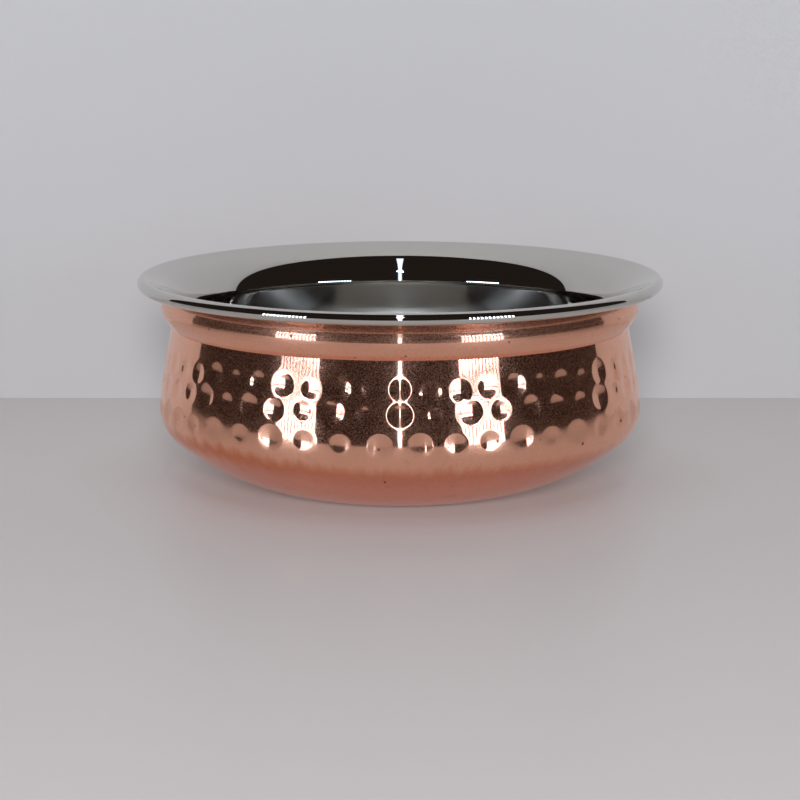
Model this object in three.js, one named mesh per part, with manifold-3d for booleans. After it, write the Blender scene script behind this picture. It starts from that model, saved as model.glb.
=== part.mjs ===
// Handi serving bowl: a smooth steel bowl with a trumpet rim, nested in a hammered copper jacket.
// The rolled lip of the steel overhangs the jacket's turned-in top edge, and the bowl hangs on that edge.
// Millimetres, +Z up, with the origin at the centre of the flat face that the bowl rests on.

import * as THREE from 'three';
import { mergeVertices } from 'three/addons/utils/BufferGeometryUtils.js';
import Module from 'manifold-3d';

// Outside face of the copper jacket: each ring is placed from the one below it
const baseRadius = 36; // edge of the flat resting face
const baseRise = 11.5; // degrees at which the flank leaves the base
const flankLean = 51; // degrees that the belly has turned under where the flank begins
const bellyRound = 11; // radius of that turn
const bellyRadius = 69; // widest ring of the belly
const bellyHeight = 22.5;
const shoulderBend = 4.5; // above the belly, where its upright wall bends in towards the throat
const shoulderRise = 23.4; // belly to throat
const throatInset = 3.7; // how far the throat is drawn in from the belly
const collarBend = 3.3; // above the throat, where the collar's underside bends upright
const collarRise = 5.1; // throat to the widest ring of the collar
const collarProud = 2.8; // how far the collar stands out from the throat
const collarRound = 8; // radius at which the collar turns in under the rim

// Wall and rim of the steel bowl
const steelBend = 2; // above the belly, where the steel's wall bends in towards its neck
const neckRise = 3.1; // throat to the neck, the narrowest ring of the steel
const neckInset = 0.4; // how much further in than the jacket's throat the neck is drawn
const neckCrease = 8; // degrees that the flare leans out where it leaves the neck
const brimSlope = 27; // degrees at which the brim climbs to the lip
const rimRise = 9; // collar to the top of the lip
const rimOverhang = 6.9; // how far the lip reaches out past the collar
const lipRound = 1.75; // outside radius of the lip's roll
const lipCurl = 270; // degrees that the sheet is rolled round, from the top of the lip

// Sheet thickness and fit
const steelWall = 0.8;
const copperWall = 1.2;
const airGap = 0.6; // between the two walls
const seatGap = 0.3; // between the jacket's top edge and the underside of the rim

// Hammered dimples: each row hangs a distance below the throat and has its own count round the jacket.
// A dimple's bearing and height stray a little, as they do from a hammer held by hand.
const dimpleDiameter = 6.2;
const dimpleDepth = 0.36;
const dimpleRows = [
  { drop: 7.7, count: 52, shift: -0.05, stray: 0.3, start: 0.84 },
  { drop: 14, count: 48, shift: 0.08, stray: 1, start: -0.49 },
  { drop: 22.3, count: 43, shift: 0.49, stray: 1.33, start: 2.79 },
]; // shift is a share of the row's pitch, stray is in degrees, and start is where the stray's wave begins
const dimpleHeightStray = 0.35;
const bearingWave = 0.38; // radians of stray from one dimple to the next
const heightWave = 5.1;

// Facets
const turnFacets = 60;
const bendSteps = 3;
const flareSteps = 6;
const lipSteps = 6;
const dimpleFacets = 8;
const cutterReach = 0.4; // how far a dimple's cutter stands out of the skin

const copperLook = new THREE.MeshStandardMaterial({ color: 0xd98b66, roughness: 0.18, metalness: 1 });
const steelLook = new THREE.MeshStandardMaterial({ color: 0xc9cbcc, roughness: 0.08, metalness: 1 });

const wasm = await Module();
wasm.setup();

const radians = THREE.MathUtils.degToRad;
const point = (radius, z) => new THREE.Vector2(radius, z);

const throat = point(bellyRadius - throatInset, bellyHeight + shoulderRise);
const collar = point(throat.x + collarProud, throat.y + collarRise);
const lipTop = point(collar.x + rimOverhang - lipRound, collar.y + rimRise);

// Points of a round stretch about a centre, in degrees from straight out, without the first point
function arc(centre, radius, from, to, steps) {
  return Array.from({ length: steps }, (_, i) => {
    const turn = radians(from + ((to - from) * (i + 1)) / steps);
    return point(centre.x + radius * Math.cos(turn), centre.y + radius * Math.sin(turn));
  });
}

// Points of a soft bend from one end to the other, without the first point
function bend(from, corner, to, steps) {
  return new THREE.QuadraticBezierCurve(from, corner, to).getPoints(steps).slice(1);
}

// Where two straight lines meet, each given by a point and a direction
function crossing(a, alongA, b, alongB) {
  const reach = b.clone().sub(a).cross(alongB) / alongA.cross(alongB);
  return a.clone().addScaledVector(alongA, reach);
}

// A path moved sideways by a distance, to its left as it runs, with its corners kept sharp
function beside(path, distance) {
  return path.map((p, i) => {
    const before = p.clone().sub(path[Math.max(i - 1, 0)]).normalize();
    const after = path[Math.min(i + 1, path.length - 1)].clone().sub(p).normalize();
    const along = before.clone().add(after).normalize();
    const widen = Math.max(along.dot(after), along.dot(before));
    return p.clone().addScaledVector(point(-along.y, along.x), distance / widen);
  });
}

// Height of a path at a radius, on the stretch of it that first reaches that radius
function heightAt(path, radius) {
  const i = path.findIndex((p, k) => k > 0 && p.x >= radius);
  const [a, b] = [path[i - 1], path[i]];
  return a.y + ((b.y - a.y) * (radius - a.x)) / (b.x - a.x);
}

// The lower part of the jacket's outside: base, flank and belly
function jacketLower() {
  const baseEdge = point(baseRadius, 0);
  const bellyCentre = point(bellyRadius - bellyRound, bellyHeight);
  const bellyTurn = arc(bellyCentre, bellyRound, -flankLean, 0, bendSteps);
  const flankTop = arc(bellyCentre, bellyRound, 0, -flankLean, 1)[0];
  const alongFlank = point(-Math.sin(radians(flankLean)), -Math.cos(radians(flankLean)));
  const alongBase = point(Math.cos(radians(baseRise)), Math.sin(radians(baseRise)));
  const flankCorner = crossing(flankTop, alongFlank, baseEdge, alongBase);
  return [point(0, 0), baseEdge, ...bend(baseEdge, flankCorner, flankTop, bendSteps), ...bellyTurn];
}

// The jacket's outside up to the throat
function jacketBody() {
  const lower = jacketLower();
  const shoulderCorner = point(bellyRadius, bellyHeight + shoulderBend);
  return [...lower, ...bend(lower.at(-1), shoulderCorner, throat, bendSteps)];
}

// The jacket's collar above the throat, turned in as far as the throat's own radius
function jacketCollar() {
  const underside = bend(throat, point(collar.x, throat.y + collarBend), collar, bendSteps);
  const turnIn = arc(point(collar.x - collarRound, collar.y), collarRound, 0, 90, 3 * bendSteps);
  return [...underside, ...turnIn];
}

// The face of the steel bowl that holds the food: it follows the jacket up to the belly,
// then leans in, almost straight, to the neck
function steelBody() {
  const inwards = copperWall + airGap + steelWall;
  const lower = beside(jacketLower(), inwards);
  const belly = lower.at(-1);
  const neck = point(throat.x - inwards - neckInset, throat.y + neckRise);
  return [...lower, ...bend(belly, point(belly.x, belly.y + steelBend), neck, bendSteps)];
}

// The same face from the crease at the neck up: a round flare, a straight brim, then the roll of the lip
function steelRim() {
  const neck = steelBody().at(-1);
  const lipCentre = point(lipTop.x, lipTop.y - lipRound);
  const brimEnd = arc(lipCentre, lipRound, 90, 90 + brimSlope, 1)[0];
  const [across, up] = [brimEnd.x - neck.x, brimEnd.y - neck.y];
  const [sine, cosine] = [Math.sin(radians(brimSlope)), Math.cos(radians(brimSlope))];
  const flareRound = (up * cosine - across * sine) / (1 - Math.sin(radians(brimSlope + neckCrease)));
  const flareCentre = arc(neck, flareRound, 0, -neckCrease, 1)[0];
  const flare = arc(flareCentre, flareRound, 180 - neckCrease, 90 + brimSlope, flareSteps);
  const lip = arc(lipCentre, lipRound, 90, 90 - lipCurl, lipSteps);
  return [neck, ...flare, brimEnd, lipTop, ...lip];
}

// The jacket's outside and inside faces, both trimmed to the underside of the steel rim
function jacketFaces() {
  const outside = [...jacketBody(), ...jacketCollar()];
  const seat = beside(steelRim(), -steelWall - seatGap);
  const trimmed = (path) => {
    const over = path.findIndex((p) => p.y > throat.y && p.y > heightAt(seat, p.x));
    const [a, b] = [path[over - 1], path[over]];
    const clear = (p) => heightAt(seat, p.x) - p.y;
    const share = clear(a) / (clear(a) - clear(b));
    return [...path.slice(0, over), a.clone().lerp(b, share)];
  };
  return { outside: trimmed(outside), inside: trimmed(beside(outside, copperWall)) };
}

// A closed solid turned from a profile that runs clockwise, over the top of the sheet and back underneath,
// from the axis round to the axis
function turned(profile, facets) {
  const lathe = new THREE.LatheGeometry(profile, facets).rotateX(Math.PI / 2);
  lathe.deleteAttribute('normal');
  lathe.deleteAttribute('uv');
  const shell = mergeVertices(lathe);
  const corners = shell.index.array;
  const faces = [];
  for (let i = 0; i < corners.length; i += 3) {
    const [a, b, c] = corners.slice(i, i + 3);
    if (a !== b && b !== c && c !== a) faces.push(a, c, b);
  }
  shell.setIndex(faces);
  return shell;
}

function solidOf(shell) {
  const vertProperties = new Float32Array(shell.attributes.position.array);
  const triVerts = new Uint32Array(shell.index.array);
  return new wasm.Manifold(new wasm.Mesh({ numProp: 3, vertProperties, triVerts }));
}

function shellOf(solid) {
  const { vertProperties, triVerts } = solid.getMesh();
  const shell = new THREE.BufferGeometry();
  shell.setAttribute('position', new THREE.BufferAttribute(vertProperties, 3));
  shell.setIndex(new THREE.BufferAttribute(triVerts, 1));
  return shell;
}

// The tool that leaves a dimple in a skin of this radius: a shallow dish with a flat back, lying along +Z.
// The skin falls away from the middle of the dimple, so the dish is flatter than a dimple in a plane.
function dimpleCutter(skinRadius) {
  const bow = dimpleDepth / (dimpleDiameter / 2) ** 2 - 1 / (2 * skinRadius);
  const backRadius = Math.sqrt((dimpleDepth + cutterReach) / bow);
  const dish = (radius) => point(radius, bow * radius ** 2 - dimpleDepth);
  return turned([point(0, cutterReach), dish(backRadius), dish(dimpleDiameter / 4), dish(0)], dimpleFacets);
}

// Middle of each dimple and the way that it faces, on the jacket's outside, counted from the front
function dimplePlaces(outside) {
  return dimpleRows.flatMap(({ drop, count, shift, stray, start }, row) =>
    Array.from({ length: count }, (_, i) => {
      const z = throat.y - drop + dimpleHeightStray * Math.sin(heightWave * i + row);
      const k = outside.findIndex((p, n) => n > 1 && p.y >= z);
      const [a, b] = [outside[k - 1], outside[k]];
      const skin = a.clone().lerp(b, (z - a.y) / (b.y - a.y));
      const along = b.clone().sub(a).normalize();
      const bearing = radians((360 / count) * (i + shift) + stray * Math.sin(bearingWave * i + start) - 90);
      const outwards = new THREE.Vector3(Math.cos(bearing), Math.sin(bearing), 0);
      return {
        middle: outwards.clone().multiplyScalar(skin.x).setZ(skin.y),
        facing: outwards.multiplyScalar(along.y).setZ(-along.x),
      };
    }),
  );
}

function steelBowl() {
  const face = [...steelBody().slice(0, -1), ...steelRim()];
  const back = beside(face, -steelWall);
  return turned([...face, ...back.toReversed()], turnFacets);
}

function copperJacket() {
  const { outside, inside } = jacketFaces();
  let solid = solidOf(turned([...inside, ...outside.toReversed()], turnFacets));
  const dish = dimpleCutter(bellyRadius);
  const up = new THREE.Vector3(0, 0, 1);
  for (const { middle, facing } of dimplePlaces(outside)) {
    const turn = new THREE.Quaternion().setFromUnitVectors(up, facing);
    const place = new THREE.Matrix4().compose(middle, turn, new THREE.Vector3(1, 1, 1));
    solid = solid.subtract(solidOf(dish.clone().applyMatrix4(place)));
  }
  return shellOf(solid);
}

function piece(name, shell, material) {
  shell.computeVertexNormals();
  const mesh = new THREE.Mesh(shell, material);
  mesh.name = name;
  return mesh;
}

const bowl = new THREE.Group();
bowl.add(piece('steel_bowl', steelBowl(), steelLook));
bowl.add(piece('copper_jacket', copperJacket(), copperLook));

export default bowl;
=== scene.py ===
import math

import bmesh
import bpy
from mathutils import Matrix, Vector, kdtree


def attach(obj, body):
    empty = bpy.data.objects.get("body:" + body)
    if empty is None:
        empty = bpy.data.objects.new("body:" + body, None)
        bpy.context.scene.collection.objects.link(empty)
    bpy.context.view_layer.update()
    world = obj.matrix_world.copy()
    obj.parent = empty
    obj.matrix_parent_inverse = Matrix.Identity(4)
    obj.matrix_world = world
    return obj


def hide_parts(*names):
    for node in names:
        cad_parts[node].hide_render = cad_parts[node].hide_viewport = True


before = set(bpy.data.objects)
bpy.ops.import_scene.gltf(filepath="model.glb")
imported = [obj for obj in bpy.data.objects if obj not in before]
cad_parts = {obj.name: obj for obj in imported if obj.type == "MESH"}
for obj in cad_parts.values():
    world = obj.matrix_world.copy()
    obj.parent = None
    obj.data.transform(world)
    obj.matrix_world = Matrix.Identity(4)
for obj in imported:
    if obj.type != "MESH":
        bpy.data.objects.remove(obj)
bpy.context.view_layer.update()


# Copper jacket
# A round of copper sheet, spun over a former to a full belly, drawn in at the throat and rolled out to a
# collar. Three rows of dimples are hammered in by hand, and the sheet is polished before and after that.
# The collar's edge is tucked under the rim of the steel bowl, which holds the two together.
MM = 0.001  # the sizes of the two sheets are in millimetres, and their meshes in metres

base_radius = 36
base_ease = 0.8  # width of the soft edge of the flat base
base_rise = 11.5  # degrees at which the flank leaves the flat base
flank_lean = 51  # degrees that the belly has turned under where the flank begins
belly_round = 11
belly_radius = 69
belly_height = 22.5
shoulder_bend = 4.5
shoulder_rise = 23.4
throat_inset = 3.7
collar_bend = 3.3
collar_rise = 5.1
collar_proud = 2.8
collar_round = 8
collar_turn = 33.5  # degrees that the collar turns in before it meets the rim
copper_wall = 1.2

throat = Vector((belly_radius - throat_inset, belly_height + shoulder_rise))
collar = throat + Vector((collar_proud, collar_rise))


def arc(centre, radius, start, end, steps):
    """Points round a centre, in degrees from straight out, without the first one."""
    turns = [math.radians(start + (end - start) * (i + 1) / steps) for i in range(steps)]
    return [centre + radius * Vector((math.cos(turn), math.sin(turn))) for turn in turns]


def soft_bend(start, corner, end, steps):
    """Points of a curve that rounds off a corner, without the first one."""
    shares = [(i + 1) / steps for i in range(steps)]
    return [start * (1 - s) ** 2 + corner * 2 * s * (1 - s) + end * s ** 2 for s in shares]


def crossing(a, along_a, b, along_b):
    """Where two straight lines meet, each given by a point and a direction."""
    reach = (b - a).cross(along_b) / along_a.cross(along_b)
    return a + along_a * reach


def beside(path, distance):
    """A path moved to its left by a distance, with its corners kept sharp."""
    moved = []
    for i, p in enumerate(path):
        before = (p - path[max(i - 1, 0)]).normalized()
        after = (path[min(i + 1, len(path) - 1)] - p).normalized()
        along = (before + after).normalized()
        widen = max(along.dot(before), along.dot(after))
        moved.append(p + Vector((-along.y, along.x)) * (distance / widen))
    return moved


def lower_outline(flank_steps, belly_steps):
    """The jacket's outside from the middle of its base to the belly, as radius and height."""
    base_edge = Vector((base_radius, 0))
    belly_centre = Vector((belly_radius - belly_round, belly_height))
    flank_top = arc(belly_centre, belly_round, 0, -flank_lean, 1)[0]
    lean = math.radians(flank_lean)
    rise = math.radians(base_rise)
    down_flank = Vector((-math.sin(lean), -math.cos(lean)))
    up_base = Vector((math.cos(rise), math.sin(rise)))
    flank_corner = crossing(flank_top, down_flank, base_edge, up_base)
    return [
        Vector((0, 0)),
        Vector((base_radius - base_ease, 0)),
        base_edge,
        *soft_bend(base_edge, flank_corner, flank_top, flank_steps),
        *arc(belly_centre, belly_round, -flank_lean, 0, belly_steps),
    ]


def upper_outline(shoulder_steps, underside_steps, turn_steps):
    """The jacket's outside from the belly, past the throat, to the collar's edge under the rim."""
    belly = Vector((belly_radius, belly_height))
    shoulder_corner = belly + Vector((0, shoulder_bend))
    collar_corner = Vector((collar.x, throat.y + collar_bend))
    turn_centre = collar - Vector((collar_round, 0))
    return [
        *soft_bend(belly, shoulder_corner, throat, shoulder_steps),
        *soft_bend(throat, collar_corner, collar, underside_steps),
        *arc(turn_centre, collar_round, 0, collar_turn, turn_steps),
    ]


weld_distance = 0.01
cut_edge_angle = 35  # degrees past which an edge of a sheet stays sharp


def spun_sheet(name, outline, steps):
    """A sheet spun about the bowl's axis from the outline of its section, left in edit mode."""
    bpy.ops.object.select_all(action="DESELECT")
    bpy.ops.mesh.primitive_plane_add(size=MM)
    sheet = bpy.context.object
    sheet.name = name
    sheet.data.name = name
    bpy.ops.object.mode_set(mode="EDIT")
    bpy.ops.mesh.select_mode(type="VERT")
    # The plane is drawn together to one point, which is then drawn out along the outline
    bpy.ops.mesh.select_all(action="SELECT")
    bpy.ops.mesh.merge(type="CENTER")
    start = outline[0] * MM
    bpy.ops.transform.translate(value=(start.x, 0, start.y))
    for here, there in zip(outline, outline[1:]):
        step = (there - here) * MM
        bpy.ops.mesh.extrude_region_move(TRANSFORM_OT_translate={"value": (step.x, 0, step.y)})
    bpy.ops.mesh.select_all(action="SELECT")
    bpy.ops.mesh.spin(steps=steps, angle=math.tau, center=(0, 0, 0), axis=(0, 0, 1))
    bpy.ops.mesh.select_all(action="SELECT")
    bpy.ops.mesh.remove_doubles(threshold=weld_distance * MM)
    bpy.ops.mesh.normals_make_consistent(inside=False)
    return sheet


def finish_sheet():
    """Leaves edit mode with the sheet smooth but for its cut edges."""
    bpy.ops.mesh.reveal(select=False)
    bpy.ops.object.mode_set(mode="OBJECT")
    bpy.ops.object.shade_smooth_by_angle(angle=math.radians(cut_edge_angle))


jacket_skin = [
    *lower_outline(flank_steps=26, belly_steps=20),
    *upper_outline(shoulder_steps=46, underside_steps=12, turn_steps=10),
]
jacket_back = [
    *lower_outline(flank_steps=5, belly_steps=3),
    *upper_outline(shoulder_steps=3, underside_steps=3, turn_steps=3),
]
jacket_lining = beside(jacket_back, copper_wall)
jacket = spun_sheet("copper_jacket_sheet", jacket_skin + jacket_lining[::-1], steps=720)

dimple_diameter = 6.2
dimple_depth = 0.41
# A row's drop is below the throat, its shift is a share of the pitch, its stray is in degrees either way,
# and its start is where the wave of that stray begins, in radians
dimple_rows = [
    {"drop": 7.7, "count": 52, "shift": -0.05, "stray": 0.3, "start": 0.84},
    {"drop": 14, "count": 48, "shift": 0.08, "stray": 1, "start": -0.49},
    {"drop": 22.3, "count": 43, "shift": 0.49, "stray": 1.33, "start": 2.79},
]
front_bearing = -90  # degrees from +X, so that the first dimple of a row is near the front
height_stray = 0.35
blow_weights = [0.86, 0.95, 1.05, 1.16]  # light to heavy, as shares of a dimple's width and depth
# Each dimple's stray and weight follow waves, which move on by this many radians to the next dimple
bearing_wave = 0.38
height_wave = 5.1
weight_wave = 3.7
weight_start = -1.57  # radians at the first dimple of the first row
weight_row_step = 2  # radians further at the next row

# Only the hammered part of the skin is left in sight of the hammer, so that the rest stays plain
hammered_from = 17
hammered_to = 44
mesh = bmesh.from_edit_mesh(jacket.data)
bpy.ops.mesh.select_all(action="DESELECT")
bpy.ops.mesh.select_mode(type="FACE")
for face in mesh.faces:
    middle = face.calc_center_median()
    is_lining = face.normal.x * middle.x + face.normal.y * middle.y < 0
    face.select_set(is_lining or not hammered_from < middle.z / MM < hammered_to)
bmesh.update_edit_mesh(jacket.data)
bpy.ops.mesh.hide(unselected=False)
bpy.ops.mesh.select_mode(type="VERT")

mesh = bmesh.from_edit_mesh(jacket.data)
mesh.verts.ensure_lookup_table()
shown = [vert.index for vert in mesh.verts if not vert.hide]
near = kdtree.KDTree(len(shown))
for index in shown:
    near.insert(mesh.verts[index].co, index)
near.balance()

struck = {weight: [] for weight in blow_weights}
for row, dimples in enumerate(dimple_rows):
    pitch = 360 / dimples["count"]
    for i in range(dimples["count"]):
        level = throat.y - dimples["drop"] + height_stray * math.sin(height_wave * i - row)
        stray = dimples["stray"] * math.sin(bearing_wave * i + dimples["start"])
        bearing = math.radians(pitch * (i + dimples["shift"]) + stray + front_bearing)
        reach = next(p.x for p in jacket_skin if p.y >= level)
        spot = Vector((reach * math.cos(bearing), reach * math.sin(bearing), level)) * MM
        share = (1 + math.sin(weight_wave * i + weight_row_step * row + weight_start)) / 2
        weight = blow_weights[min(int(share * len(blow_weights)), len(blow_weights) - 1)]
        struck[weight].append(near.find(spot)[1])

for weight, places in struck.items():
    bpy.ops.mesh.select_all(action="DESELECT")
    for index in places:
        mesh.verts[index].select_set(True)
    bpy.ops.transform.shrink_fatten(
        value=-dimple_depth * weight * MM,
        use_proportional_edit=True,
        proportional_edit_falloff="INVERSE_SQUARE",
        proportional_size=dimple_diameter / 2 * weight * MM,
    )
# Polishing after the hammer rounds the edges of the dimples
bpy.ops.mesh.select_all(action="SELECT")
bpy.ops.mesh.vertices_smooth(factor=0.5, repeat=2)
finish_sheet()


def linear(hex_colour):
    """A colour written as sRGB hex, in the linear values that a node takes."""
    levels = [int(hex_colour[i:i + 2], 16) / 255 for i in (1, 3, 5)]
    return (*[v / 12.92 if v <= 0.04045 else ((v + 0.055) / 1.055) ** 2.4 for v in levels], 1)


def add(tree, kind, inputs=None, **settings):
    """Adds a node: settings are its own, and inputs hold a value or another node's output."""
    node = tree.nodes.new("ShaderNode" + kind)
    for name, setting in settings.items():
        setattr(node, name, setting)
    for name, value in (inputs or {}).items():
        if isinstance(value, bpy.types.NodeSocket):
            tree.links.new(value, node.inputs[name])
        else:
            node.inputs[name].default_value = value
    return node


def per_mm(size):
    """The scale of a pattern that repeats over this many millimetres."""
    return 1 / (size * MM)


ring_drift = 2  # millimetres along the pattern for each radian round the bowl, so that no ring is quite even
across_rings = 0.25  # of a turn from the tangent round the bowl


def polishing_rings(tree, axes, turn, width, detail):
    """The rings that a polishing wheel leaves on a sheet that turns about the bowl's axis."""
    flat = add(tree, "CombineXYZ", {"X": axes["X"], "Y": axes["Y"]}).outputs[0]
    radius = add(tree, "VectorMath", {0: flat}, operation="LENGTH").outputs["Value"]
    drift = add(tree, "Math", {0: turn, 1: ring_drift * MM}, operation="MULTIPLY").outputs[0]
    place = add(tree, "CombineXYZ", {"X": radius, "Y": axes["Z"], "Z": drift}).outputs[0]
    return add(tree, "TexNoise", {"Vector": place, "Scale": per_mm(width), "Detail": detail}).outputs["Fac"]


# Polished copper: a mirror tinted salmon, whose polishing rings smear reflections more up and down than
# sideways. Fine scuffs lay a thin haze over it, which is thickest on the rubbed collar. Below the belly the
# tint is redder, under a ragged brown stain that is stronger and higher on the left, and there are a few
# smudges and dark specks.
ring_width = 0.6  # real rings are about 0.05 mm wide, too fine to show, so they are drawn wider
scuff_size = 0.1  # too fine to be seen one by one, so that the scuffs read as a haze
drip_width = 3
drip_stretch = 0.15  # share of a height that counts in the drips, which makes them tall
drip_reach = 6
patch_size = 9
speck_size = 1.6
grain_size = 0.5
grain_depth = 0.01

copper = bpy.data.materials.new("Polished and hammered copper")
copper.use_nodes = True
tree = copper.node_tree
shader = tree.nodes["Principled BSDF"]
place = add(tree, "TexCoord").outputs["Object"]
axes = add(tree, "SeparateXYZ", {0: place}).outputs
across = axes["X"]
height = axes["Z"]
turn = add(tree, "Math", {0: axes["Y"], 1: axes["X"]}, operation="ARCTAN2").outputs[0]

rings = polishing_rings(tree, axes, turn, ring_width, detail=3)
scuffs = add(tree, "TexNoise", {"Vector": place, "Scale": per_mm(scuff_size), "Detail": 0}).outputs["Fac"]
rubbed = add(tree, "MapRange", {
    "Value": height, "From Min": 46 * MM, "From Max": 49 * MM, "To Max": 0.22,
}).outputs[0]
worn = add(tree, "Math", {0: rings, 1: rubbed, 2: scuffs}, operation="MULTIPLY_ADD").outputs[0]
dullness = add(tree, "MapRange", {
    "Value": worn, "From Min": 0.59, "From Max": 0.7, "To Min": 0.07, "To Max": 0.5,
}).outputs[0]

wrap = add(tree, "Math", {0: turn, 1: belly_radius * MM}, operation="MULTIPLY").outputs[0]
fall = add(tree, "Math", {0: height, 1: drip_stretch}, operation="MULTIPLY").outputs[0]
drip_place = add(tree, "CombineXYZ", {"X": wrap, "Y": fall}).outputs[0]
drips = add(tree, "TexNoise", {"Vector": drip_place, "Scale": per_mm(drip_width), "Detail": 4}).outputs["Fac"]
lift = add(tree, "MapRange", {
    "Value": across, "From Min": -50 * MM, "From Max": -15 * MM, "To Min": 3 * MM, "To Max": 0,
}).outputs[0]
level = add(tree, "Math", {0: height, 1: lift}, operation="SUBTRACT").outputs[0]
ragged = add(tree, "Math", {0: drips, 1: drip_reach * MM, 2: level}, operation="MULTIPLY_ADD").outputs[0]
below = add(tree, "MapRange", {"Value": ragged, "From Min": 20.5 * MM, "From Max": 17 * MM}).outputs[0]
deep = add(tree, "MapRange", {"Value": ragged, "From Min": 18 * MM, "From Max": 12 * MM}).outputs[0]
edge = add(tree, "Math", {0: below, 1: deep}, operation="SUBTRACT").outputs[0]
spread = add(tree, "MapRange", {
    "Value": across, "From Min": -48 * MM, "From Max": -15 * MM, "To Min": 1, "To Max": 0.5,
}).outputs[0]
stain = add(tree, "Math", {0: edge, 1: spread}, operation="MULTIPLY").outputs[0]

patches = add(tree, "TexNoise", {
    "Vector": place, "Scale": per_mm(patch_size), "Detail": 6, "Roughness": 0.7,
}).outputs["Fac"]
smudge = add(tree, "MapRange", {
    "Value": patches, "From Min": 0.6, "From Max": 0.75, "To Max": 0.6,
}).outputs[0]
dots = add(tree, "TexNoise", {"Vector": place, "Scale": per_mm(speck_size), "Detail": 0}).outputs["Fac"]
speck = add(tree, "MapRange", {
    "Value": dots, "From Min": 0.85, "From Max": 0.88, "To Max": 0.8,
}).outputs[0]

# The salmon of the polished copper, and over it the redder tint below, the stain, the smudges and the specks
tint = linear("#FABA9C")
for share, colour in ((below, "#F5A68A"), (stain, "#D98053"), (smudge, "#C47E55"), (speck, "#3C2116")):
    tint = add(tree, "Mix", {0: share, 6: tint, 7: linear(colour)}, data_type="RGBA").outputs[2]

grain = add(tree, "TexNoise", {"Vector": place, "Scale": per_mm(grain_size), "Detail": 2}).outputs["Fac"]
bump = add(tree, "Bump", {"Height": grain, "Strength": 0.08, "Distance": grain_depth * MM}).outputs[0]
tangent = add(tree, "Tangent", direction_type="RADIAL", axis="Z").outputs[0]
tree.links.new(tint, shader.inputs["Base Color"])
tree.links.new(dullness, shader.inputs["Roughness"])
tree.links.new(tangent, shader.inputs["Tangent"])
tree.links.new(bump, shader.inputs["Normal"])
shader.inputs["Metallic"].default_value = 1
shader.inputs["Anisotropic"].default_value = 0.8
shader.inputs["Anisotropic Rotation"].default_value = across_rings
jacket.data.materials.append(copper)
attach(jacket, "root")
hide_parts("copper_jacket")


# Steel bowl
# A thinner bowl of stainless steel, spun to the jacket's shape, that hangs inside it by its flared rim.
# Its brim ends in a lip rolled over into a round bead.
steel_wall = 0.8
air_gap = 0.6
steel_bend = 2
neck_rise = 3.1
neck_inset = 0.4
neck_crease = 8  # degrees that the flare leans out where it leaves the neck
brim_slope = 27  # degrees at which the brim rises to the lip
rim_rise = 9
rim_overhang = 6.9
lip_round = 1.75
lip_curl = 270  # degrees from the top of the lip to the end of its roll

lip_top = collar + Vector((rim_overhang - lip_round, rim_rise))


def food_face(flank_steps, belly_steps, wall_steps, flare_steps, lip_steps):
    """The face that holds the food, from the middle of the bowl to the end of the lip's roll."""
    inwards = copper_wall + air_gap + steel_wall
    lower = beside(lower_outline(flank_steps, belly_steps), inwards)
    belly = lower[-1]
    wall_corner = belly + Vector((0, steel_bend))
    neck = throat + Vector((-inwards - neck_inset, neck_rise))
    lip_centre = lip_top - Vector((0, lip_round))
    brim_end = arc(lip_centre, lip_round, 90, 90 + brim_slope, 1)[0]
    across, up = brim_end - neck
    slope = math.radians(brim_slope)
    crease = math.radians(neck_crease)
    flare_round = (up * math.cos(slope) - across * math.sin(slope)) / (1 - math.sin(slope + crease))
    flare_centre = arc(neck, flare_round, 0, -neck_crease, 1)[0]
    return [
        *lower,
        *soft_bend(belly, wall_corner, neck, wall_steps),
        *arc(flare_centre, flare_round, 180 - neck_crease, 90 + brim_slope, flare_steps),
        brim_end,
        *arc(lip_centre, lip_round, 90 + brim_slope, 90 - lip_curl, lip_steps),
    ]


steel_face = food_face(flank_steps=20, belly_steps=14, wall_steps=40, flare_steps=30, lip_steps=33)
steel_coarse = food_face(flank_steps=4, belly_steps=3, wall_steps=3, flare_steps=8, lip_steps=11)
steel_back = beside(steel_coarse, -steel_wall)
bowl = spun_sheet("steel_bowl_sheet", steel_face + steel_back[::-1], steps=480)
finish_sheet()

# Mirror-polished stainless steel: a grey mirror, a little warm, with fine rings from polishing. The floor
# and the lowest part of the wall are left satin, which blurs what they mirror.
steel_ring_width = 0.3  # drawn wider than real rings, as on the copper
satin_from = 18
satin_full = 12

steel = bpy.data.materials.new("Mirror-polished stainless steel")
steel.use_nodes = True
tree = steel.node_tree
shader = tree.nodes["Principled BSDF"]
axes = add(tree, "SeparateXYZ", {0: add(tree, "TexCoord").outputs["Object"]}).outputs
turn = add(tree, "Math", {0: axes["Y"], 1: axes["X"]}, operation="ARCTAN2").outputs[0]
rings = polishing_rings(tree, axes, turn, steel_ring_width, detail=2)
shine = add(tree, "MapRange", {
    "Value": rings, "From Min": 0.35, "From Max": 0.75, "To Min": 0.02, "To Max": 0.05,
}).outputs[0]
satin = add(tree, "MapRange", {
    "Value": axes["Z"], "From Min": satin_from * MM, "From Max": satin_full * MM, "To Max": 0.3,
}).outputs[0]
dullness = add(tree, "Math", {0: shine, 1: satin}, operation="ADD").outputs[0]
tangent = add(tree, "Tangent", direction_type="RADIAL", axis="Z").outputs[0]
tree.links.new(dullness, shader.inputs["Roughness"])
tree.links.new(tangent, shader.inputs["Tangent"])
shader.inputs["Base Color"].default_value = linear("#D0CDC7")
shader.inputs["Metallic"].default_value = 1
shader.inputs["Anisotropic"].default_value = 0.9
shader.inputs["Anisotropic Rotation"].default_value = across_rings
bowl.data.materials.append(steel)
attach(bowl, "root")
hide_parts("steel_bowl")


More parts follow.
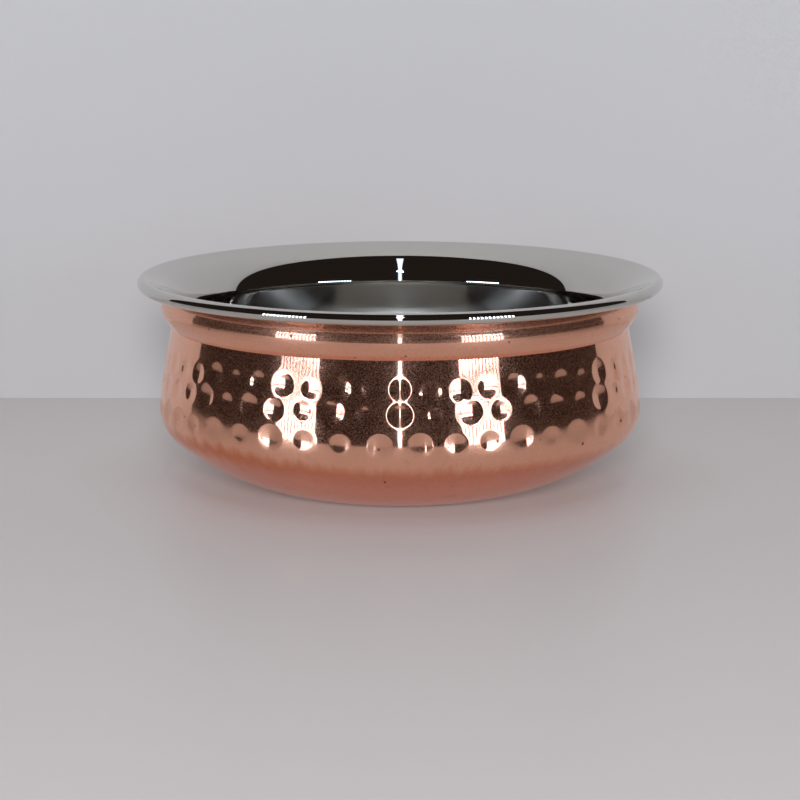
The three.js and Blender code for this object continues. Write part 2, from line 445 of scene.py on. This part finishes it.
# Table and wall
# A pale table top, which reaches a little further forward than the camera sees, and a pale painted wall close
# behind the bowl. The wall is seen from its front only, so that the bowl can be looked at from behind.
# The sizes of the set and of the lights are in metres.
table_front = -0.32
table_back = 1
table_side = 0.7
wall_distance = 0.131
wall_left = -0.4
wall_right = 0.46
wall_top = 2.4


def set_plane(name, corners, colour, roughness):
    """A flat surface of the set from its four corners, and the material on it."""
    bpy.ops.object.select_all(action="DESELECT")
    bpy.ops.mesh.primitive_plane_add()
    plane = bpy.context.object
    plane.name = name
    for vert, corner in zip(plane.data.vertices, corners):
        vert.co = corner
    material = bpy.data.materials.new(name)
    material.use_nodes = True
    paint = material.node_tree.nodes["Principled BSDF"]
    paint.inputs["Base Color"].default_value = linear(colour)
    paint.inputs["Roughness"].default_value = roughness
    plane.data.materials.append(material)
    return material


table_corners = [(x, y, 0) for y in (table_front, table_back) for x in (-table_side, table_side)]
wall_corners = [(x, wall_distance, z) for z in (0, wall_top) for x in (wall_left, wall_right)]
set_plane("Table", table_corners, "#B6B1B0", roughness=0.45)
painted = set_plane("Wall", wall_corners, "#B8B6B6", roughness=0.5)

tree = painted.node_tree
behind = add(tree, "NewGeometry").outputs["Backfacing"]
clear = add(tree, "BsdfTransparent").outputs[0]
front = tree.nodes["Principled BSDF"].outputs[0]
one_sided = add(tree, "MixShader", {0: behind, 1: front, 2: clear})
tree.links.new(one_sided.outputs[0], tree.nodes["Material Output"].inputs["Surface"])


# Lights
# Banks of upright tubes stand left and right of the camera, two strips and a small lamp shine from in front,
# and a tube hangs above. Soft lights brighten the table and the wall, and the rest of the room is dark.
tube_colour = "#DCEBFF"
tube_count = 12
tube_share = 0.35  # lit share of the way from one tube of a bank to the next
bank_distance = 0.8
bank_width = 0.282
bank_bearings = {"Left": -47.5, "Right": 38}
ceiling_length = 1
ceiling_width = 0.04
ceiling_level = 2.5
ceiling_place = (0, -0.62, 1.2)


def area_light(name, width, length, energy, location, rotation):
    """A flat light, with its size in metres and its energy in watts."""
    light = bpy.data.lights.new(name, "AREA")
    light.shape = "RECTANGLE"
    light.size = width
    light.size_y = length
    light.energy = energy
    stand = bpy.data.objects.new(name, light)
    stand.location = location
    stand.rotation_euler = rotation
    bpy.context.scene.collection.objects.link(stand)
    return stand


def tube_light(name, width, length, level, location, rotation):
    """A light in the cool white of a tube, whose level is how bright it looks, with 1 as white."""
    light = area_light(name, width, length, level * math.pi * width * length, location, rotation).data
    light.color = linear(tube_colour)[:3]
    return light


def lamp(name, bearing, distance, bottom, top, width, level):
    """An upright lamp that faces the bowl, with its bearing in degrees from the camera, to the right."""
    turn = math.radians(bearing)
    location = (distance * math.sin(turn), -distance * math.cos(turn), (bottom + top) / 2)
    return tube_light(name, width, top - bottom, level, location, (math.radians(90), 0, turn))


def tube_bank(name, bearing, bottom, top, level):
    """A lamp that is split into a row of upright tubes."""
    light = lamp(name, bearing, bank_distance, bottom, top, bank_width, level)
    light.use_nodes = True
    tree = light.node_tree
    across = add(tree, "SeparateXYZ", {0: add(tree, "NewGeometry").outputs["Parametric"]}).outputs["X"]
    count = add(tree, "Math", {0: across, 1: tube_count}, operation="MULTIPLY").outputs[0]
    part = add(tree, "Math", {0: count}, operation="FRACT").outputs[0]
    lit = add(tree, "Math", {0: part, 1: tube_share}, operation="LESS_THAN").outputs[0]
    tree.links.new(lit, tree.nodes["Emission"].inputs["Strength"])


def soft_light(name, location, size, energy, shadow):
    """A light on the set that the bowl doesn't mirror."""
    facing = (-Vector(location)).to_track_quat("-Z", "Y").to_euler()
    stand = area_light(name, size, size, energy, location, facing)
    stand.data.use_shadow = shadow
    stand.visible_glossy = False


for side, bearing in bank_bearings.items():
    tube_bank(side + " upper tubes", bearing, bottom=0.19, top=0.225, level=36)
    tube_bank(side + " middle tubes", bearing, bottom=0.12, top=0.165, level=6)
    tube_bank(side + " lower tubes", bearing, bottom=-0.1, top=0.12, level=13)
lamp("Front strip", 0, distance=1, bottom=-0.1, top=0.26, width=0.026, level=8)
lamp("Upper front strip", 0, distance=1.1, bottom=0.3, top=1.2, width=0.04, level=2)
lamp("Front lamp", 0, distance=0.95, bottom=0.84, top=0.9, width=0.06, level=150)
tube_light("Ceiling tube", ceiling_width, ceiling_length, ceiling_level, ceiling_place, (0, 0, 0))
soft_light("Light of the room", (-0.05, -0.35, 1.1), size=0.9, energy=5.4, shadow=False)
soft_light("Soft light above", (-0.05, -0.45, 1.1), size=0.9, energy=2, shadow=True)
soft_light("Soft light in front", (-0.015, -1.2, 0.38), size=0.2, energy=10, shadow=True)

world = bpy.data.worlds.new("Dark room")
bpy.context.scene.world = world
world.use_nodes = True
world.node_tree.nodes["Background"].inputs["Color"].default_value = linear("#26201D")


# Camera
# It stands about 85 cm in front of the bowl and looks a little down on it, with a long lens.
# The lens is worked out from the width of the image and its focal length, both in pixels.
image_width = 800
focal_pixels = 2955
sensor_width = 36
view_drop = 10.42  # degrees below level
camera = bpy.data.cameras.new("Camera")
camera.sensor_fit = "HORIZONTAL"
camera.sensor_width = sensor_width
camera.lens = sensor_width * focal_pixels / image_width
viewer = bpy.data.objects.new("Camera", camera)
viewer.location = (0, -0.837, 0.1773)
viewer.rotation_euler = (math.radians(90 - view_drop), 0, 0)
bpy.context.scene.collection.objects.link(viewer)
bpy.context.scene.camera = viewer
bpy.context.scene.view_settings.view_transform = "Standard"
